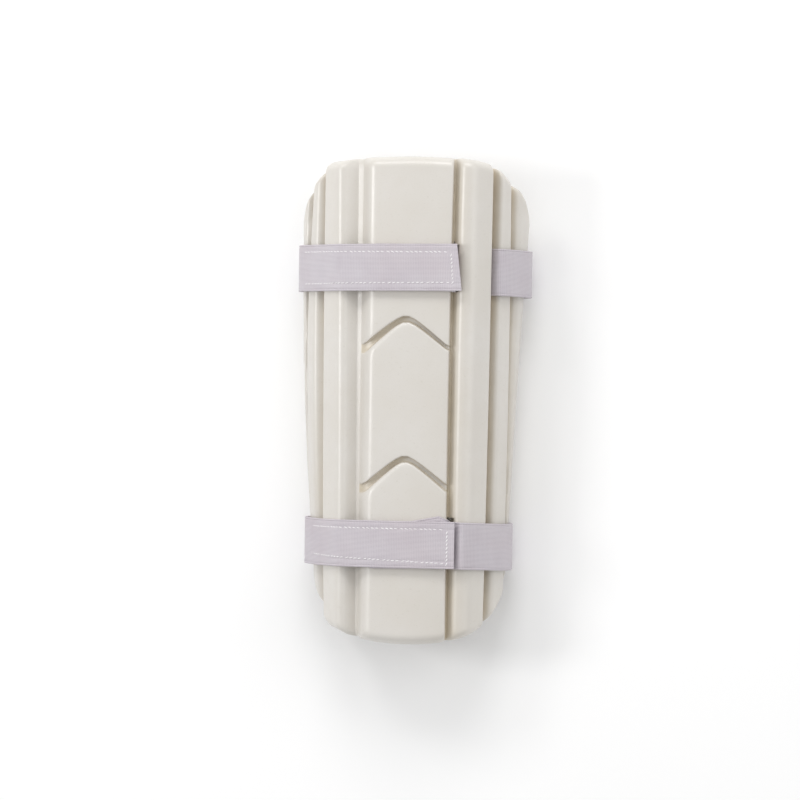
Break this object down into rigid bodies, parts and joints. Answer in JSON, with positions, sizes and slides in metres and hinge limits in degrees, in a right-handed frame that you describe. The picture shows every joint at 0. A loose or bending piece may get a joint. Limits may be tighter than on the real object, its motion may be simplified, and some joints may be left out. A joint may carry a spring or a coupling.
{
  "type": "cricket arm guard",
  "caption": "Moulded foam forearm guard with a ribbed shell, a middle panel with chevron grooves and two elastic straps that close it round the arm.",
  "frame": {"origin": "middle of the footprint, on the surface that the guard lies on", "axes": "+Y along the forearm towards the elbow, +Z out of the arm from the open side to the middle panel, +X across"},
  "size_m": [0.1254, 0.26, 0.0588],
  "materials": {
    "foam_skin": "satin moulded foam skin with a fine grain",
    "elastic": "matt ribbed elastic with sewn edges"
  },
  "bodies": {
    "root": {"shell": "foam_skin", "upper_strap": "elastic", "lower_strap": "elastic"}
  },
  "joints": []
}
